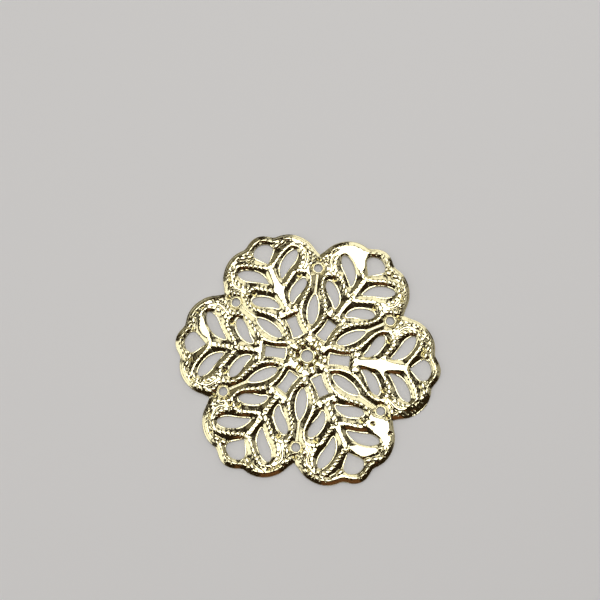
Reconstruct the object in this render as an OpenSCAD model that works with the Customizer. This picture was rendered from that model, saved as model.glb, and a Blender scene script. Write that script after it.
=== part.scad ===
// Filigree stamping: a flat flower of six petals pressed and pierced from thin
// brass sheet, gold plated. One piece of metal, so one solid.
// It lies on the XY plane with its face up and one petal pointing along +X.
// The petals are alike and each is a mirror of itself about its own middle line.

/* [Sheet] */
// Distance across the flower from petal tip to opposite petal tip
flower_d = 41.6; // [40:0.1:43]
// Thickness of the flat metal between the ridges
sheet_t = 0.42; // [0.35:0.01:0.6]

/* [Relief] */
// Height of the ridges above the flat metal
ridge_h = 0.42; // [0.3:0.02:0.6]
// Width of a ridge at its foot
ridge_foot_w = 0.86; // [0.7:0.02:1]
// Width of a ridge at its crest
ridge_crest_w = 0.42; // [0.3:0.02:0.6]
// Bare metal left beside each opening
edge_w = 0.14; // [0.08:0.02:0.2]

/* [Holes] */
// Diameter of the hole at the centre
centre_hole_d = 1.9; // [1.6:0.1:2.1]
// Diameter of the six joining holes
join_hole_d = 1.42; // [1.2:0.02:1.6]
// Diameter of the circle that the joining holes lie on
join_circle_d = 28.2; // [27.9:0.1:28.5]
// Width of the smooth lip around a round hole
lip_w = 0.34; // [0.2:0.02:0.4]
// Height of that lip above the flat metal
lip_h = 0.3; // [0.2:0.02:0.4]

/* [Centre] */
// Number of granules in the ring around the centre
granule_count = 24; // [18:1:26]
// Diameter of a granule
granule_d = 0.52; // [0.4:0.02:0.54]
// Radius of the circle that the granules lie on
granule_ring_r = 2.25; // [2.2:0.05:2.35]
// Depth of the six pits between the centre hole and the granules
pit_depth = 0.14; // [0.06:0.02:0.2]

/* [Hidden] */

petals = 6;
turn = 360 / petals;
grow = flower_d / 41.6;     // the outer edge is drawn for a flower of 41.6 and scaled
edge_steps = 3;             // straight lines between two points of an edge
route_steps = 2;            // and between two points of a ridge
tier_h = ridge_h / 2;       // a ridge has a wide tier and a narrow one on it
granule_rise = 0.04;        // how far the granules stand above the ridges
pit_from = 1.4;             // distances from the centre
pit_to = 1.72;
pit_w = 0.84;
over = 1;                   // how far a cutter runs past a face

// Half of one petal's edge, [along, across] its middle line, notch to tip
petal_edge = [[15.3, 7.85], [16.6, 7.5], [17.75, 6.8], [18.7, 5.85], [19.35, 4.7],
              [19.6, 3.6], [19.65, 2.65], [19.95, 2.05], [20.4, 1.4], [20.7, 0.7], [20.8, 0]];
petal_notch = [14.2, 8.2];

// Openings, [along, across]: the leaves are whole loops, beside a petal's middle line
inner_leaf = [[8.7, 1.1], [9.7, 1.1], [10.9, 1.98], [11.7, 3.5], [11.6, 4.58],
              [10.7, 4.4], [9.88, 3.35], [9.3, 2.05]];
outer_leaf = [[13, 1.12], [14.2, 1.3], [15.4, 2.05], [16.35, 3.45], [16.58, 4.8],
              [15.95, 5.1], [14.88, 4.3], [14.15, 3.05], [13.5, 2]];
// These are half loops: the tip opening and, between two petals, the lens opening
tip_window = [[16, 0], [16.3, 0.26], [17.65, 1.47], [18.3, 1.6], [18.95, 1.2], [19.38, 0]];
lens_window = [[5.06, 0], [5.45, 0.42], [6.4, 0.72], [7.5, 0.79], [8.6, 0.64], [9.55, 0.28],
               [9.9, 0]];
// The four-sided opening behind each petal, with hollow long sides
square_window_from = 3.5;
square_window_to = 6.6;
square_window_end_half_w = 0.84;
square_window_mid_half_w = 0.7;

// Ridges, [along, across], for half a petal. The long one starts at the centre, runs
// round the lens opening and the joining hole, and becomes the petal's rim.
long_ridge = [[3.2, 1.85], [4.1, 1.67], [5.3, 1.52], [6.4, 1.66], [7.4, 2.06], [8.4, 2.85],
              [9.35, 3.85], [10.2, 4.75], [11.2, 5.28], [12.3, 5.42], [13, 5.72],
              [13.5, 6.45], [14.1, 7.1], [15.3, 7.22], [16.8, 6.7], [18, 5.65],
              [18.75, 4.35], [18.98, 3.1], [19.1, 2.1], [19.7, 1.1], [20.05, 0]];
side_vein = [[11.3, 0], [11.8, 1.15], [12.5, 2.2], [13.15, 3.1], [13.3, 3.9], [12.9, 4.65],
             [12.3, 5.42]];
leaf_ridge = [[15.45, 0], [15.85, 1.15], [16.5, 2.2], [17.05, 3.15], [17.35, 4], [17.55, 4.85],
              [18, 5.65]];
leaf_end_ridge = [[13.3, 3.9], [13.9, 4.85], [14.7, 5.45], [15.6, 5.72], [16.6, 5.6], [17.5, 4.7]];
stem = [[7.35, 0], [15.45, 0]];
cross_bar = [[7.35, -1.95], [7.35, 1.95]];
// On the line between two petals, from the granules and from the lens opening
spoke = [[2.25, 0], [3.75, 0]];
vein = [[10.3, 0], [13, 0]];

// Curves and point lists
function between(a, b, c, d, t) =
    (2 * b + (c - a) * t + (2 * a - 5 * b + 4 * c - d) * t * t
     + (3 * b - 3 * c + d - a) * t * t * t) / 2;
function open_curve(p, steps) =
    let (n = len(p))
    [for (i = [0 : n - 2], k = [0 : steps - 1])
        between(i > 0 ? p[i - 1] : 2 * p[0] - p[1], p[i], p[i + 1],
                i < n - 2 ? p[i + 2] : 2 * p[n - 1] - p[n - 2], k / steps),
     p[n - 1]];
function closed_curve(p, steps) =
    let (n = len(p))
    [for (i = [0 : n - 1], k = [0 : steps - 1])
        between(p[(i + n - 1) % n], p[i], p[(i + 1) % n], p[(i + 2) % n], k / steps)];
function backwards(p) = [for (i = [len(p) - 1 : -1 : 0]) p[i]];
function other_side(p) = [for (q = p) [q.x, -q.y]];
function turned(p, a) =
    [for (q = p) [q.x * cos(a) - q.y * sin(a), q.x * sin(a) + q.y * cos(a)]];
function heading(p, i) =
    let (d = p[min(i + 1, len(p) - 1)] - p[max(i - 1, 0)]) d / norm(d);
function beside(p, w) =
    [for (i = [0 : len(p) - 1]) let (h = heading(p, i)) p[i] + w / 2 * [-h.y, h.x]];
function band(p, w) = concat(beside(p, -w), backwards(beside(p, w)));

function without_ends(p) = [for (i = [1 : len(p) - 2]) p[i]];
function loop_of(half) = concat(half, backwards(other_side(without_ends(half))));
function across_tip(half) = concat(half, backwards(other_side([for (i = [0 : len(half) - 2]) half[i]])));

// Symmetry
module on_each_petal() { for (k = [0 : petals - 1]) rotate(k * turn) children(); }
module between_petals() { for (k = [0 : petals - 1]) rotate((k + 0.5) * turn) children(); }
module on_both_sides() { children(); mirror([0, 1]) children(); }

// Outlines
module flower_outline() {
    petal = backwards(open_curve(across_tip(petal_edge), edge_steps));
    polygon([for (k = [0 : petals - 1]) each turned(concat(petal, [petal_notch]), k * turn)] * grow);
}

module leaves() {
    on_each_petal() on_both_sides() {
        polygon(closed_curve(inner_leaf, edge_steps));
        polygon(closed_curve(outer_leaf, edge_steps));
    }
}

module square_windows() {
    steps = 4;
    side = [for (k = [0 : steps]) let (t = k / steps)
        [square_window_from + (square_window_to - square_window_from) * t,
         square_window_end_half_w
         - (square_window_end_half_w - square_window_mid_half_w) * sin(180 * t)]];
    on_each_petal() polygon(concat(side, backwards(other_side(side))));
}

module openings() {
    leaves();
    square_windows();
    on_each_petal() polygon(closed_curve(loop_of(tip_window), edge_steps));
    between_petals() polygon(closed_curve(loop_of(lens_window), edge_steps));
}

// Relief
module ridge_bands(w) {
    on_each_petal() {
        polygon(band(open_curve(across_tip(long_ridge), route_steps), w));
        polygon(band(stem, w));
        polygon(band(cross_bar, w));
        on_both_sides() for (route = [side_vein, leaf_ridge, leaf_end_ridge])
            polygon(band(open_curve(route, route_steps), w));
    }
    between_petals() for (route = [spoke, vein]) polygon(band(route, w));
}

module granule_bed() {
    difference() {
        circle(granule_ring_r + granule_d * 0.7, $fn = 48);
        circle(granule_ring_r - granule_d * 0.7, $fn = 48);
    }
}

// The bands run together into one area that keeps clear of the openings
module clear_of_openings() {
    offset(delta = 0) difference() {
        union() children();
        offset(delta = edge_w) openings();
    }
}

module ridges() {
    translate([0, 0, sheet_t / 2])
        linear_extrude(sheet_t / 2 + tier_h) clear_of_openings() {
            ridge_bands(ridge_foot_w);
            granule_bed();
        }
    translate([0, 0, sheet_t])
        linear_extrude(ridge_h) clear_of_openings() ridge_bands(ridge_crest_w);
}

module granules() {
    for (k = [0.5 : granule_count])
        rotate(k * 360 / granule_count)
            translate([granule_ring_r, 0, sheet_t + ridge_h + granule_rise - granule_d / 2])
                sphere(d = granule_d, $fn = 24);
}

module pits() {
    on_each_petal()
        translate([pit_from, -pit_w / 2, sheet_t - pit_depth])
            cube([pit_to - pit_from, pit_w, pit_depth + over]);
}

// Round holes and their lips
module at_joining_holes() { between_petals() translate([join_circle_d / 2, 0]) children(); }

module lip(hole_d) { cylinder(h = sheet_t + lip_h, d = hole_d + 2 * lip_w, $fn = 32); }

module bore(hole_d) {
    translate([0, 0, -over])
        cylinder(h = sheet_t + ridge_h + 2 * over, d = hole_d, $fn = 32);
}

module stamping() {
    color([0.83, 0.66, 0.3])
    difference() {
        union() {
            linear_extrude(sheet_t) difference() {
                flower_outline();
                openings();
            }
            ridges();
            granules();
            lip(centre_hole_d);
            at_joining_holes() lip(join_hole_d);
        }
        pits();
        bore(centre_hole_d);
        at_joining_holes() bore(join_hole_d);
    }
}

stamping();
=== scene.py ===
import math

import bpy
from mathutils import Matrix, Vector, kdtree, noise


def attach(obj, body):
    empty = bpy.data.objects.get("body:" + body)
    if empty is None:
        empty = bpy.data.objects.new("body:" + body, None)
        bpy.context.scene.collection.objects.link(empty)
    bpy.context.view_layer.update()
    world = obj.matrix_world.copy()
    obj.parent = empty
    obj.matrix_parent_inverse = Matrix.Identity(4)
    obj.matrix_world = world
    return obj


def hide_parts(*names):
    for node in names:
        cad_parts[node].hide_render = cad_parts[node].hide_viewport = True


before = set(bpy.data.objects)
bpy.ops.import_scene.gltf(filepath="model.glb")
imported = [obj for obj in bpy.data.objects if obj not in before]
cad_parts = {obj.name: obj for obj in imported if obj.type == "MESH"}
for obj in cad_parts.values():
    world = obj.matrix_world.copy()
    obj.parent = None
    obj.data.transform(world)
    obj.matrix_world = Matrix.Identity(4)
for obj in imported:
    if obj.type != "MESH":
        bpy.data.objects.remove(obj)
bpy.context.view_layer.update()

# Camera. It looks down on the flower from 12 cm, about 11 degrees off straight above,
# with one petal pointing up and to the right. It is not part of the object.
MM = 0.001
camera_place = (-11.3 * MM, -10.1 * MM, 123.6 * MM)
camera_turn = [math.radians(a) for a in (11.03, 1.09, -52.8)]
camera_lens = 47.7
camera_near = 5 * MM

bpy.ops.object.camera_add(location=camera_place, rotation=camera_turn)
camera = bpy.context.object
camera.data.lens = camera_lens
camera.data.clip_start = camera_near
bpy.context.scene.camera = camera
bpy.context.scene.view_settings.view_transform = "Standard"

# Floor and light. A plain pale table top under a broad soft light overhead. Two soft
# windows stand low beside it, one behind the flower to the right and one to the left,
# three walls give back a little light, and the rest of the room is dim and warm.
floor_w = 1.6
floor_drop = 0.02 * MM
table_colour, table_roughness = (0.88, 0.88, 0.89, 1), 0.75
room_colour, room_strength = (0.016, 0.009, 0.003, 1), 1.0
daylight = (1.0, 0.99, 0.97)
lamp_distance = 0.5
picture_right = camera.matrix_world.to_3x3() @ Vector((1, 0, 0))
picture_up = camera.matrix_world.to_3x3() @ Vector((0, 1, 0))
picture_right.z = picture_up.z = 0


def lamp(name, bearing, elevation, size, glow, tint):
    """A square soft lamp that looks at the flower. Its bearing is the way that it lies
    in the picture, 0 for right and 90 for the far side. Angles are in degrees."""
    turn, lift = math.radians(bearing), math.radians(elevation)
    place = picture_right.normalized() * math.cos(turn) + picture_up.normalized() * math.sin(turn)
    place = lamp_distance * (place * math.cos(lift) + Vector((0, 0, math.sin(lift))))
    bpy.ops.object.light_add(type="AREA", location=place)
    light = bpy.context.object
    light.name = name
    light.rotation_euler = place.to_track_quat("Z", "Y").to_euler()
    light.data.size = size
    light.data.energy = glow * math.pi * size * size
    light.data.color = tint


lamp("overhead_lamp", 64, 83.5, 0.34, 3.4, daylight)
lamp("right_window", 64, 24, 0.40, 1.1, daylight)
lamp("left_window", 195, 26, 0.40, 1.25, daylight)
lamp("far_wall", 130, 24, 0.34, 0.17, (1.0, 0.94, 0.74))
lamp("right_wall", 5, 26, 0.30, 0.35, (1.0, 0.97, 0.92))
lamp("near_wall", 277, 24, 0.30, 0.10, (1.0, 0.42, 0.18))

world = bpy.data.worlds.new("dim_room")
bpy.context.scene.world = world
world.use_nodes = True
world.node_tree.nodes["Background"].inputs["Color"].default_value = room_colour
world.node_tree.nodes["Background"].inputs["Strength"].default_value = room_strength

bpy.ops.mesh.primitive_plane_add(size=floor_w, location=(0, 0, -floor_drop))
floor = bpy.context.object
floor.name = "table_top"
table_paint = bpy.data.materials.new("table_paint")
table_paint.use_nodes = True
paint = table_paint.node_tree.nodes["Principled BSDF"]
paint.inputs["Base Color"].default_value = table_colour
paint.inputs["Roughness"].default_value = table_roughness
floor.data.materials.append(table_paint)

# Blank. The flat brass sheet as the die has pierced it, with its petal outline and its
# 49 openings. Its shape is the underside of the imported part, given a thickness again.
blank_t = 0.30 * MM
blank_voxel = 0.10 * MM
merge_gap = 0.001 * MM
# A face of the underside looks straight down, by its normal, and lies on the floor
down_normal, floor_gap = -0.99, 0.01 * MM


def pick(*objs):
    """Only these objects are selected, and the first of them is the active one."""
    bpy.ops.object.select_all(action="DESELECT")
    for o in objs:
        o.select_set(True)
    bpy.context.view_layer.objects.active = objs[0]


def finish_with(piece, kind, **settings):
    """Adds a modifier to the piece and applies it."""
    pick(piece)
    step = piece.modifiers.new(kind.lower(), kind)
    for name, value in settings.items():
        setattr(step, name, value)
    bpy.ops.object.modifier_apply(modifier=step.name)


underside = bpy.data.objects.new("pierced_outline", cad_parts["stamping"].data.copy())
bpy.context.collection.objects.link(underside)
pick(underside)
bpy.ops.object.mode_set(mode="EDIT")
bpy.ops.mesh.select_mode(type="FACE")
bpy.ops.mesh.select_all(action="SELECT")
bpy.ops.mesh.remove_doubles(threshold=merge_gap)
bpy.ops.mesh.select_all(action="DESELECT")
bpy.ops.object.mode_set(mode="OBJECT")
for face in underside.data.polygons:
    face.select = face.normal.z > down_normal or abs(face.center.z) > floor_gap
bpy.ops.object.mode_set(mode="EDIT")
bpy.ops.mesh.delete(type="FACE")
bpy.ops.object.mode_set(mode="OBJECT")

blank = bpy.data.objects.new("blank", underside.data.copy())
bpy.context.collection.objects.link(blank)
finish_with(blank, "SOLIDIFY", thickness=blank_t, offset=-1)
finish_with(blank, "REMESH", mode="VOXEL", voxel_size=blank_voxel, adaptivity=0)

# The line of every opening and of the outline is taken off the same underside
pick(underside)
bpy.ops.object.mode_set(mode="EDIT")
bpy.ops.mesh.select_mode(type="EDGE")
bpy.ops.mesh.select_all(action="SELECT")
bpy.ops.mesh.region_to_loop()
bpy.ops.mesh.duplicate()
bpy.ops.mesh.separate(type="SELECTED")
bpy.ops.object.mode_set(mode="OBJECT")
edge_lines = next(o for o in bpy.context.selected_objects if o != underside)
edge_lines.name = "edge_lines"

# Lips. The die turns up a thin bright lip along every opening, a wider smooth one round
# each round hole, and a soft roll along the outer edge. One more lip runs on from the tip
# of each lens opening to the joining hole. All are the sheet's own metal.
petals = 6
petal_angle = 360 / petals
vein = [(9.9, 0), (13.1, 0)]
vein_swell = 1.3
lip_inset = 0.075 * MM
lip_r, lip_z = 0.065 * MM, 0.385 * MM
hole_lip_r, hole_lip_z = 0.12 * MM, 0.62 * MM
roll_r, roll_z = 0.11 * MM, 0.29 * MM
# Only the outline reaches past the first of these from its own middle. A line that stays
# within the second is a round hole, if it lies at the centre or out where the petals join.
outline_reach, round_hole_reach = 15 * MM, 1.25 * MM
centre_zone_r, joining_zone_r = 1 * MM, 13 * MM

pick(underside)
bpy.ops.object.mode_set(mode="EDIT")
bpy.ops.mesh.select_mode(type="FACE")
bpy.ops.mesh.select_all(action="SELECT")
bpy.ops.mesh.inset(thickness=lip_inset, use_boundary=True, use_even_offset=True)
bpy.ops.mesh.region_to_loop()
bpy.ops.mesh.duplicate()
bpy.ops.mesh.separate(type="SELECTED")
bpy.ops.object.mode_set(mode="OBJECT")
lips = next(o for o in bpy.context.selected_objects if o != underside)
lips.name = "lips"
bpy.data.objects.remove(underside)
pick(lips)
bpy.ops.object.convert(target="CURVE")
lips.data.dimensions = "3D"
lips.data.bevel_depth = lip_r
lips.data.bevel_resolution = 2
for edge in lips.data.splines:
    places = [Vector(p.co[:3]) for p in edge.points]
    middle = sum(places, Vector()) / len(places)
    reach = max((p - middle).length for p in places)
    wide, up = lip_r, lip_z
    if reach > outline_reach:
        wide, up = roll_r, roll_z
    elif reach < round_hole_reach and not centre_zone_r <= middle.length <= joining_zone_r:
        wide, up = hole_lip_r, hole_lip_z
    for p in edge.points:
        p.radius = wide / lip_r
        p.co.z = up


def petal_turn(k):
    """The turn about the centre from petal 0 to petal k. A half lies between two petals."""
    return Matrix.Rotation(math.radians(petal_angle * k), 2)


def on_each_petal(route, between=0.0):
    """The route once for each petal. With a half for between, it lies between two petals."""
    return [[petal_turn(k + between) @ Vector(p) for p in route] for k in range(petals)]


vein_lines = on_each_petal(vein, between=0.5)
for line in vein_lines:
    edge = lips.data.splines.new("POLY")
    edge.points.add(1)
    for p, place in zip(edge.points, line):
        p.co = (place.x * MM, place.y * MM, lip_z, 1)
        p.radius = vein_swell
pick(lips)
bpy.ops.object.convert(target="MESH")

# Relief. The die presses the blank into ridges, hollow behind: on each petal a stem with a
# cross bar, side veins, a ridge behind each outer leaf, and one long ridge that runs from
# the centre, round the lens opening and the joining hole, into the rim.

# Routes are in mm, [along, across] the petal's middle line, for half a petal. The spoke
# lies on the line between two petals.
long_ridge = [(3.2, 1.85), (4.1, 1.67), (5.3, 1.52), (6.4, 1.66), (7.4, 2.06), (8.4, 2.85),
              (9.35, 3.85), (10.2, 4.75), (11.2, 5.28), (12.3, 5.42), (13, 5.72),
              (13.5, 6.45), (14.1, 7.1), (15.3, 7.22), (16.8, 6.7), (18, 5.65),
              (18.75, 4.35), (18.98, 3.1), (19.1, 2.1), (19.7, 1.1), (20.05, 0)]
side_vein = [(11.3, 0), (11.8, 1.15), (12.5, 2.2), (13.15, 3.1), (13.3, 3.9), (12.9, 4.65),
             (12.3, 5.42)]
leaf_ridge = [(15.45, 0), (15.85, 1.15), (16.5, 2.2), (17.05, 3.15), (17.35, 4), (17.55, 4.85),
              (18, 5.65)]
leaf_end_ridge = [(13.3, 3.9), (13.9, 4.85), (14.7, 5.45), (15.6, 5.72), (16.6, 5.6), (17.5, 4.7)]
outer_wave = [(13.3, 5.15), (14, 5.85), (14.5, 6.25), (15.3, 6.4), (16.2, 6.25), (17, 5.9)]
stem = [(7.35, 0), (15.45, 0)]
cross_bar = [(7.35, -1.95), (7.35, 1.95)]
spoke = [(2.7, 0), (3.75, 0)]

# In mm, with heights over the floor: the crests and the metal between them. A ridge is flat
# on its crest and rounded beside it, and falls to the shelf along the nearest edge, or as
# far as a flank runs.
ridge_top, valley = 0.80, 0.37
shelf_w = 0.11
crest_half_w, flank_run, flank_run_least, crest_round = 0.05, 1.25, 0.1, 0.2
# The stems, bars and spokes are wider, and not the same all along
stem_half_w, stem_usual, stem_noise = 0.12, 0.6, (0.9, 2)
# A broad swell lies between the outer leaves and the rim
wave_top, wave_half_w, wave_flank_w = 0.95, 0.1, 0.5
# The back is hollow under a ridge, by this share of its rise, less a little
hollow, hollow_less = 0.6, 0.03
# The hub is a low round plate that carries the granules
hub_from, hub_to, hub_top = 1.8, 2.8, 0.46
hub_slope_in, hub_slope_out = 0.4, 0.5
# The outer edge slopes down. The outer work begins between these distances from the centre.
rim_edge_z, rim_slope_w = 0.40, 0.7
outer_from, outer_to = 12.4, 13.6
# Some lobes and stems are worn smooth, and on one lobe the die left the rim slack:
# petal, place, and half size, along and across, and how much, from 0 to 1
worn_lobes = [(0, 17.3, 3.6, 2.5, 4.0, 1), (4, 14.9, 5.9, 3.0, 2.0, 1),
              (4, 16.5, 2.4, 2.0, 2.8, 0.9), (4, 19.3, -2.6, 1.1, 2.6, 0.8),
              (5, 11.3, 0, 4.7, 1.35, 0.9), (1, 11.8, 0, 4.4, 1.1, 0.5),
              (2, 16.6, -2.5, 1.9, 2.5, 0.7)]
worn_top, worn_edge, worn_edge_w = 1.05, 0.5, 0.6
slack_lobes = [(5, 17.6, -5.7, 2.8, 2.6, 1)]
slack_w = 1.7
# Places along a line are taken this far apart
mark_gap = 0.05


def drawn(route, steps=8):
    """A smooth line through the points of a route."""
    line = []
    for i in range(len(route) - 1):
        b, c = Vector(route[i]), Vector(route[i + 1])
        a = Vector(route[i - 1]) if i else 2 * b - c
        d = Vector(route[i + 2]) if i + 2 < len(route) else 2 * c - b
        for k in range(steps):
            t = k / steps
            line.append((2 * b + (c - a) * t + (2 * a - 5 * b + 4 * c - d) * t * t
                         + (3 * b - 3 * c + d - a) * t ** 3) / 2)
    return line + [Vector(route[-1])]


def spaced(line, gap):
    """Points a like distance apart along the line, and that distance."""
    run = [0]
    for a, b in zip(line, line[1:]):
        run.append(run[-1] + (b - a).length)
    count = max(2, round(run[-1] / gap))
    points, j = [], 0
    for k in range(count + 1):
        s = run[-1] * k / count
        while j < len(run) - 2 and run[j + 1] < s:
            j += 1
        points.append(line[j].lerp(line[j + 1], (s - run[j]) / (run[j + 1] - run[j])))
    return points, run[-1] / count


def other_side(route):
    """The route on the other side of the petal's middle line."""
    return [(x, -y) for x, y in route]


ridge_lines = []
for half in (long_ridge, side_vein, leaf_ridge, leaf_end_ridge):
    ridge_lines += on_each_petal(drawn(half)) + on_each_petal(drawn(other_side(half)))
bar_lines = on_each_petal(stem) + on_each_petal(cross_bar) + on_each_petal(spoke, between=0.5)
wave_lines = on_each_petal(drawn(outer_wave)) + on_each_petal(drawn(other_side(outer_wave)))


def place_finder(places):
    """Finds which of the places is the nearest, and how far off it is."""
    tree = kdtree.KDTree(len(places))
    for i, p in enumerate(places):
        tree.insert((p.x, p.y, 0), i)
    tree.balance()
    return tree


def finder(lines):
    """Finds how far a place is from the nearest of the lines."""
    return place_finder([p for line in lines
                         for p in spaced([Vector(q) for q in line], mark_gap)[0]])


# The flower's outline is the line that its farthest point lies on
edge_ends = [tuple(e.vertices) for e in edge_lines.data.edges]
next_to = {v.index: [] for v in edge_lines.data.vertices}
for a, b in edge_ends:
    next_to[a].append(b)
    next_to[b].append(a)
outline_loop = set()
todo = [max(edge_lines.data.vertices, key=lambda v: v.co.length).index]
while todo:
    i = todo.pop()
    if i not in outline_loop:
        outline_loop.add(i)
        todo += next_to[i]
edge_points = [Vector(v.co[:2]) / MM for v in edge_lines.data.vertices]
edge_pairs = [[edge_points[a], edge_points[b]] for a, b in edge_ends]
outline_pairs = [[edge_points[a], edge_points[b]] for a, b in edge_ends if a in outline_loop]
bpy.ops.object.select_all(action="DESELECT")
bpy.data.objects.remove(edge_lines)
edge_finder = finder(edge_pairs + vein_lines)
outline_finder = finder(outline_pairs)
ridge_finder = finder(ridge_lines)
bar_finder = finder(bar_lines)
wave_finder = finder(wave_lines)


def within(lobes, x, y):
    """How much one of the lobes changes a place: nothing at its edge, all in its middle."""
    most = 0
    for petal, along, across, half_l, half_w, much in lobes:
        u, v = petal_turn(-petal) @ Vector((x, y))
        inside = 2 * (1 - math.hypot((u - along) / half_l, (v - across) / half_w))
        most = max(most, much * min(1, inside))
    return most


def fade(value, low, high):
    """0 below low, 1 above high, and a smooth change between them."""
    t = min(1, max(0, (value - low) / (high - low)))
    return t * t * (3 - 2 * t)


def uneven(x, y, each_mm, layer):
    """A number from about -1 to 1 that wanders from place to place. It turns about so
    often in each mm, and each layer wanders in its own way."""
    return noise.noise((x * each_mm, y * each_mm, layer))


def pressed_height(x, y):
    """Height of the face over the floor in mm, before its lips and its beads."""
    from_edge = edge_finder.find((x, y, 0))[2]
    bar_half_w = stem_half_w * (stem_usual + uneven(x, y, *stem_noise))
    from_ridge = min(ridge_finder.find((x, y, 0))[2],
                     max(0, bar_finder.find((x, y, 0))[2] - bar_half_w))
    from_centre = math.hypot(x, y)
    run = min(flank_run, from_ridge + from_edge - shelf_w)
    down = max(0, min(1, (from_ridge - crest_half_w) / max(flank_run_least, run - crest_half_w)))
    if down < crest_round:
        down = down * down / (2 * crest_round)
    else:
        down -= crest_round / 2
    up = 1 - down / (1 - crest_round / 2)
    if from_centre > outer_from:
        from_wave = wave_finder.find((x, y, 0))[2]
        up = max(up, wave_top - max(0, from_wave - wave_half_w) / wave_flank_w)
    smooth = within(worn_lobes, x, y)
    up += (min(worn_top, worn_edge + from_edge / worn_edge_w) - up) * smooth
    height = valley + (ridge_top - valley) * up
    from_outline = outline_finder.find((x, y, 0))[2]
    slack = within(slack_lobes, x, y)
    slope_w = rim_slope_w + (slack_w - rim_slope_w) * slack
    height = min(height, rim_edge_z + (ridge_top - rim_edge_z) * from_outline / slope_w)
    plate = (fade(from_centre, hub_from - hub_slope_in, hub_from)
             * fade(-from_centre, -hub_to - hub_slope_out, -hub_to))
    return max(height, valley + (hub_top - valley) * plate)


for v in blank.data.vertices:
    top = pressed_height(v.co.x / MM, v.co.y / MM)
    bottom = max(0, hollow * (top - valley) - hollow_less)
    v.co.z = (bottom + (top - bottom) * v.co.z / blank_t) * MM

# Bosses and granules. Small rounded lumps of the same metal: two rows of granules round
# the centre, and on each petal a star on the stem, pads where its veins and rim turn and
# its bar ends, long bosses beside the tip opening, and low pads behind the inner leaves.

# How many granules, how far from the centre, and half the length of one
granule_rows = [(10, 1.98, 0.38), (14, 2.66, 0.42)]
granule_top, granule_narrow = 0.94, 0.85
# How uneven they are in angle, in distance and in size, and each one's step and layer
granule_noise = [(0.25, 1.7, 0), (0.25, 2.3, 5), (0.5, 1.9, 9)]
# Along and across a petal's middle line, half length, half width and top, and heading
bosses = [(11.3, 0, 0.50, 0.46, 0.96, 0), (13.2, 3.95, 0.60, 0.42, 0.95, 60),
          (15.2, 6.8, 0.60, 0.38, 0.94, -8), (18.25, 2.35, 0.65, 0.36, 0.92, 75),
          (18.5, 3.45, 0.65, 0.38, 0.92, 70), (8.0, 1.22, 0.62, 0.46, 0.80, 80),
          (7.35, 1.75, 0.36, 0.36, 0.95, 0)]
# A boss is gone where the metal is worn or slack by more than this
boss_lost = 0.3

bpy.ops.mesh.primitive_ico_sphere_add(subdivisions=3, radius=1 * MM, location=(0, 0, 0))
lump = bpy.context.object
lump.name = "lump"
lumps = []


def set_lump(place, half_l, half_w, top, heading):
    """One more lump, laid at a place of the face, with its top at the height given."""
    one = bpy.data.objects.new("lump", lump.data.copy())
    bpy.context.collection.objects.link(one)
    half_h = min(half_w, top / 2)
    one.data.transform(Matrix.Translation((place.x * MM, place.y * MM, (top - half_h) * MM))
                       @ Matrix.Rotation(math.radians(heading), 4, "Z")
                       @ Matrix.Diagonal((half_l, half_w, half_h, 1)))
    lumps.append(one)


for count, row_r, granule_r in granule_rows:
    for k in range(count):
        turn_off, out_off, size_off = (much * noise.noise((k * step, row_r, layer))
                                       for much, step, layer in granule_noise)
        angle = math.tau * (k + 0.5) / count + turn_off
        place = Vector((math.cos(angle), math.sin(angle))) * (row_r + out_off)
        size = granule_r * (1 + size_off)
        set_lump(place, size, size * granule_narrow, granule_top, math.degrees(angle) + 90)
boss_places = []
for along, across, half_l, half_w, top, heading in bosses:
    for side in ((1, -1) if across else (1,)):
        for k in range(petals):
            place = petal_turn(k) @ Vector((along, side * across))
            if within(worn_lobes + slack_lobes, place.x, place.y) < boss_lost:
                set_lump(place, half_l, half_w, top, side * heading + petal_angle * k)
            boss_places.append(place)
boss_finder = place_finder(boss_places)
bpy.data.objects.remove(lump)

# Stamping. All of that is one piece of metal, so it is run together. The die cuts beads
# across its ridges, a broken groove and small pits inside its rim, and dents. Pressing,
# plating and polishing soften its corners and wear its crests.
skin_voxel = 0.07 * MM
faces_kept, back_kept = 190000, 30000
# What rises above the first height is worn down to that share of its rise over it. The
# hub's granules are worn more.
worn_from, worn_by = 0.76, 0.55
hub_r, hub_worn_from, hub_worn_by = 3.2, 0.72, 0.28
# The cuts lie about a pitch apart along a ridge and lean a little. They are deeper on the
# outer ridges, farther apart along the rim, and keep clear of the outline and the bosses.
bead_pitch, rim_bead_pitch, rim_from = 0.75, 0.95, 18.4
bead_lay, bead_stray, bead_noise = 0.35, 0.5, (0.5, 3.1)
cut_half_w, cut_reach, cut_end_w = 0.13, 0.34, 0.12
cut_near, cut_far, cut_far_from, cut_far_to = 0.16, 0.20, 11, 15
cut_least, cut_usual, cut_spread, cut_less_far, cut_noise = 0.3, 0.6, 1.4, 0.1, (0.25, 4)
boss_clear = 0.5
bare_w, marked_w = 0.45, 0.6
# The groove inside the rim is broken, and deeper where a cut crosses it
rim_groove, rim_groove_half_w, rim_groove_depth = 1.08, 0.3, 0.26
groove_noise, groove_none, groove_dash = (0.7, 8), -0.3, 0.6
# The small pits lie in a broken row farther in, clear of the openings
pit_row, pit_row_half_w, pit_row_end_w = 1.85, 0.55, 0.2
pit_row_noise, pit_row_none, pit_row_all = (0.6, 12), -0.2, 0.1
speck_gap, speck_depth, speck_r, speck_floor_r = 1.25, 0.26, 0.34, 0.08
opening_clear, opening_far = 0.2, 0.45
# Dents: one behind each inner leaf's end, one outside each joining hole, and a few
# that only this flower has, each with its petal
leaf_dent = (12.4, 3.9)
hole_dent = (15.55, 0)
odd_dents = [(4, 13.5, 5.2), (4, 15.9, 7.0), (2, 18.4, -2.3), (5, 13.6, -4.9), (3, 13.0, -5.0)]
dent_r, dent_floor_r, dent_depth = 0.48, 0.05, 0.30
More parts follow.
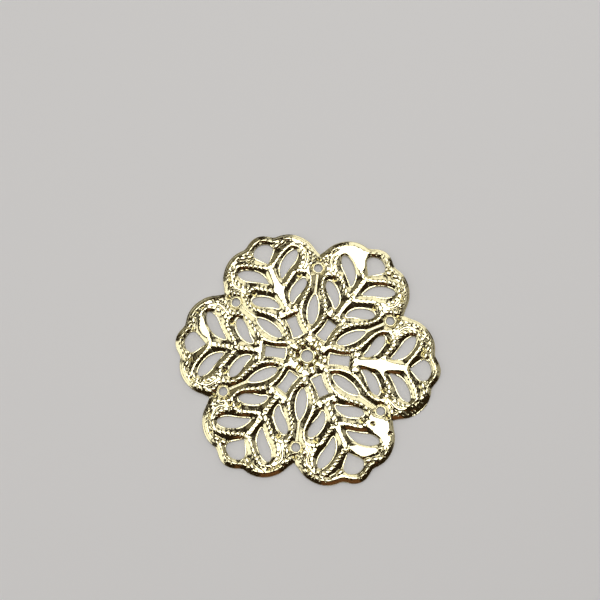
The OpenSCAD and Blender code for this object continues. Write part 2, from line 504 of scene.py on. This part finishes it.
# Six pits in the hub, one on each petal's middle line
pit_along, pit_half_l, pit_half_w, pit_depth, pit_floor = 1.52, 0.38, 0.55, 0.40, 0.3
# The slack rim hangs lower by this. No mark goes down past the least height, and the
# outer marks and the hub's lie beyond and within these distances from the centre.
slack_drop = 0.24
mark_least_z, outer_marks_from, hub_marks_to = 0.2, 11.5, 2.6
# By how far up its normal looks, a point above the first of these is on the face, and one
# below the second is on the back
face_normal, back_normal = -0.2, -0.3

stamping = blank
pick(stamping, lips, *lumps)
bpy.ops.object.join()
stamping.name = "gold_stamping"
stamping.data.materials.clear()
finish_with(stamping, "REMESH", mode="VOXEL", voxel_size=skin_voxel, adaptivity=0)

bead_marks = []
for line in ridge_lines + bar_lines:
    points, step = spaced([Vector(q) for q in line], mark_gap)
    for i, p in enumerate(points):
        ahead = points[min(i + 1, len(points) - 1)] - points[max(i - 1, 0)]
        bead_marks.append((p, i * step, ahead.normalized()))
bead_finder = place_finder([p for p, run, ahead in bead_marks])


def bead_cut(x, y, from_outline):
    """Depth in mm of the cuts across the crests, which leave beads between them, and how
    near the place is to the middle of such a cut, from 0 to 1."""
    i, away = bead_finder.find((x, y, 0))[1:]
    mark, run, ahead = bead_marks[i]
    off = Vector((x, y)) - mark
    pitch = bead_pitch if mark.length < rim_from else rim_bead_pitch
    turns = (run + ahead.dot(off) + bead_lay * ahead.cross(off)) / pitch
    turns += bead_stray * uneven(x, y, *bead_noise)
    near = fade(-abs(turns % 1 - 0.5) * pitch, -cut_half_w, 0)
    if away > cut_reach or boss_finder.find((x, y, 0))[2] < boss_clear:
        return 0, near
    deep = near * fade(-away, -cut_reach, -cut_reach + cut_end_w)
    deep *= fade(from_outline, bare_w, marked_w)
    far = fade(mark.length, cut_far_from, cut_far_to)
    strength = cut_usual + cut_spread * uneven(x, y, *cut_noise) - cut_less_far * far
    deep *= min(1, max(cut_least, strength))
    deep *= cut_near + (cut_far - cut_near) * far
    return deep * (1 - within(worn_lobes, x, y)), near


def outer_marks(x, y, from_outline, near_cut):
    """Depth in mm of the groove inside the rim and of the small pits outside the leaves."""
    from_centre = math.hypot(x, y)
    if from_centre < outer_from:
        return 0
    broken = fade(uneven(x, y, *groove_noise), groove_none, 0) * (1 - within(slack_lobes, x, y))
    dashes = groove_dash + (1 - groove_dash) * near_cut
    groove = (rim_groove_depth * broken * dashes
              * fade(-abs(from_outline - rim_groove), -rim_groove_half_w, 0))
    row = fade(-abs(from_outline - pit_row), -pit_row_half_w, -pit_row_half_w + pit_row_end_w)
    row *= fade(uneven(x, y, *pit_row_noise), pit_row_none, pit_row_all)
    from_speck = noise.voronoi((x / speck_gap, y / speck_gap, 0))[0][0]
    speck = speck_depth * fade(-from_speck, -speck_r, -speck_floor_r) * row
    return (max(groove, speck) * fade(from_centre, outer_from, outer_to)
            * fade(boss_finder.find((x, y, 0))[2], bare_w, marked_w)
            * fade(edge_finder.find((x, y, 0))[2], opening_clear, opening_far)
            * (1 - within(worn_lobes, x, y)))


dent_lines = (on_each_petal([leaf_dent]) + on_each_petal(other_side([leaf_dent]))
              + on_each_petal([hole_dent], between=0.5))
dent_finder = place_finder([line[0] for line in dent_lines]
                           + [petal_turn(petal) @ Vector(place) for petal, *place in odd_dents])


def dent(x, y):
    """Depth in mm of the dents."""
    return dent_depth * fade(-dent_finder.find((x, y, 0))[2], -dent_r, -dent_floor_r)


def hub_pit(x, y):
    """Depth in mm of the six pits round the centre hole."""
    turn = math.atan2(y, x)
    turn -= round(turn / (math.pi / 3)) * math.pi / 3
    from_centre = math.hypot(x, y)
    along, across = from_centre * math.cos(turn) - pit_along, from_centre * math.sin(turn)
    return pit_depth * fade(-math.hypot(along / pit_half_l, across / pit_half_w), -1, -pit_floor)


face_up = [v.normal.z > face_normal for v in stamping.data.vertices]
for v, up in zip(stamping.data.vertices, face_up):
    x, y, z = v.co / MM
    if z > mark_least_z and up:
        r = math.hypot(x, y)
        from_outline = outline_finder.find((x, y, 0))[2]
        depth, near_cut = bead_cut(x, y, from_outline)
        if r > outer_marks_from:
            depth = max(depth, outer_marks(x, y, from_outline, near_cut), dent(x, y))
            depth += slack_drop * within(slack_lobes, x, y) * max(0, 1 - from_outline / slack_w)
        elif r < hub_marks_to:
            depth = max(depth, hub_pit(x, y))
        z = max(z - depth, min(z, mark_least_z))
        low, by = (hub_worn_from, hub_worn_by) if r < hub_r else (worn_from, worn_by)
        v.co.z = min(z, low + by * max(0, z - low)) * MM
finish_with(stamping, "SMOOTH", factor=0.5, iterations=1)
pick(stamping)
bpy.ops.object.shade_smooth()
fine = bpy.data.objects.new("fine", stamping.data.copy())
bpy.context.collection.objects.link(fine)

# The mesh is thinned, more on the unseen back, and keeps the light of the fine one
back = stamping.vertex_groups.new(name="back")
back.add([v.index for v in stamping.data.vertices if v.normal.z < back_normal], 1.0, "REPLACE")
faces = 2 * len(stamping.data.polygons)
back_faces = 2 * sum(1 for f in stamping.data.polygons if f.normal.z < back_normal)
finish_with(stamping, "DECIMATE", ratio=1 - (back_faces - back_kept) / faces, vertex_group="back",
            use_collapse_triangulate=True)
finish_with(stamping, "DECIMATE", ratio=faces_kept / len(stamping.data.polygons),
            use_collapse_triangulate=True)
stamping.vertex_groups.clear()
bpy.ops.object.shade_smooth()
finish_with(stamping, "DATA_TRANSFER", object=fine, use_loop_data=True,
            data_types_loops={"CUSTOM_NORMAL"}, loop_mapping="POLYINTERP_NEAREST")
bpy.data.objects.remove(fine)

# Gold plate. Thin bright gold over brass, polished on the ridges. It is painted darker and
# browner in the grooves, partly as tarnish and partly as painted shade, and on the low walls of
# the openings as painted shade.
plate_pale, plate_deep = (0.98, 0.92, 0.60, 1), (0.93, 0.84, 0.49, 1)
# These browns are painted into the plate: tarnish and painted shade in the grooves, painted shade
# on the opening walls
brown_warm, brown_dark = (0.07, 0.035, 0.015, 1), (0.03, 0.022, 0.01, 1)
# Spots and grains in each metre, the grain's height, and how rough its lows and highs are
patch_scale, grain_scale, grain_h, grain_strength = 260.0, 5200.0, 0.02 * MM, 0.25
grain_low, grain_high, rough_low, rough_high = 0.3, 0.7, 0.10, 0.19
# A groove about as deep as this is painted brown all over, as tarnish and painted shade, and a
# very shallow one is not painted
groove_depth, groove_clean = 0.05 * MM, 0.12
# A wall is painted brown as shade by this much, where it is steep, by its normal, and low, in mm
wall_brown, wall_from, wall_steep, wall_high, wall_low = 0.85, 0.75, 0.45, 0.40, 0.32

smoothed = bpy.data.objects.new("smoothed", stamping.data.copy())
bpy.context.collection.objects.link(smoothed)
finish_with(smoothed, "SMOOTH", factor=0.5, iterations=10)


def tarnish_and_painted_shade_at(here, smooth):
    """How brown the plate is painted, from 0 to 1, at a point that smoothing moves: tarnish and
    painted shade in the grooves, painted shade on the low walls.
    """
    in_groove = (smooth.co - here.co).dot(here.normal) / groove_depth - groove_clean
    on_wall = wall_brown * fade(-abs(here.normal.z), -wall_from, -wall_steep)
    on_wall *= fade(-here.co.z / MM, -wall_high, -wall_low)
    return max(min(1.0, max(0.0, in_groove)), on_wall)


# Painted shade: this mark paints the grooves brown, partly as tarnish and partly as shade, and
# the low walls of the openings brown as shade
tarnish_and_painted_shade = stamping.data.attributes.new("tarnish_and_painted_shade", "FLOAT", "POINT")
tarnish_and_painted_shade.data.foreach_set("value", [
    tarnish_and_painted_shade_at(a, b) for a, b in zip(stamping.data.vertices, smoothed.data.vertices)])
bpy.data.objects.remove(smoothed)

gold_plate = bpy.data.materials.new("gold_plate")
gold_plate.use_nodes = True
nodes, links = gold_plate.node_tree.nodes, gold_plate.node_tree.links
metal = nodes["Principled BSDF"]
metal.inputs["Metallic"].default_value = 1


def node(kind, **inputs):
    """A node of the gold's material, with these inputs set or linked."""
    made = nodes.new("ShaderNode" + kind)
    for name, value in inputs.items():
        socket = made.inputs[name.replace("_", " ")]
        if hasattr(value, "is_output"):
            links.new(value, socket)
        else:
            socket.default_value = value
    return made


def blend(factor, first, second):
    """A colour between the first and the second, by the factor."""
    mix = nodes.new("ShaderNodeMix")
    mix.data_type = "RGBA"
    links.new(factor, mix.inputs["Factor"])
    for socket, colour in ((mix.inputs[6], first), (mix.inputs[7], second)):
        if hasattr(colour, "is_output"):
            links.new(colour, socket)
        else:
            socket.default_value = colour
    return mix.outputs[2]


place = node("TexCoord").outputs["Object"]
grooves = nodes.new("ShaderNodeAttribute")
grooves.attribute_name = "tarnish_and_painted_shade"
patches = node("TexNoise", Vector=place, Scale=patch_scale, Detail=3.0)
grain = node("TexNoise", Vector=place, Scale=grain_scale, Detail=2.0)
plate = blend(patches.outputs["Fac"], plate_pale, plate_deep)
brown = blend(patches.outputs["Fac"], brown_warm, brown_dark)
# The plate is painted brown by the mark: tarnish and painted shade in the grooves, painted shade
# on the walls
links.new(blend(grooves.outputs["Fac"], plate, brown), metal.inputs["Base Color"])
rough = node("MapRange", Value=grain.outputs["Fac"], From_Min=grain_low, From_Max=grain_high,
             To_Min=rough_low, To_Max=rough_high)
links.new(rough.outputs["Result"], metal.inputs["Roughness"])
bump = node("Bump", Height=grain.outputs["Fac"], Strength=grain_strength, Distance=grain_h)
links.new(bump.outputs["Normal"], metal.inputs["Normal"])
stamping.data.materials.append(gold_plate)

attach(stamping, "root")
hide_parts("stamping")
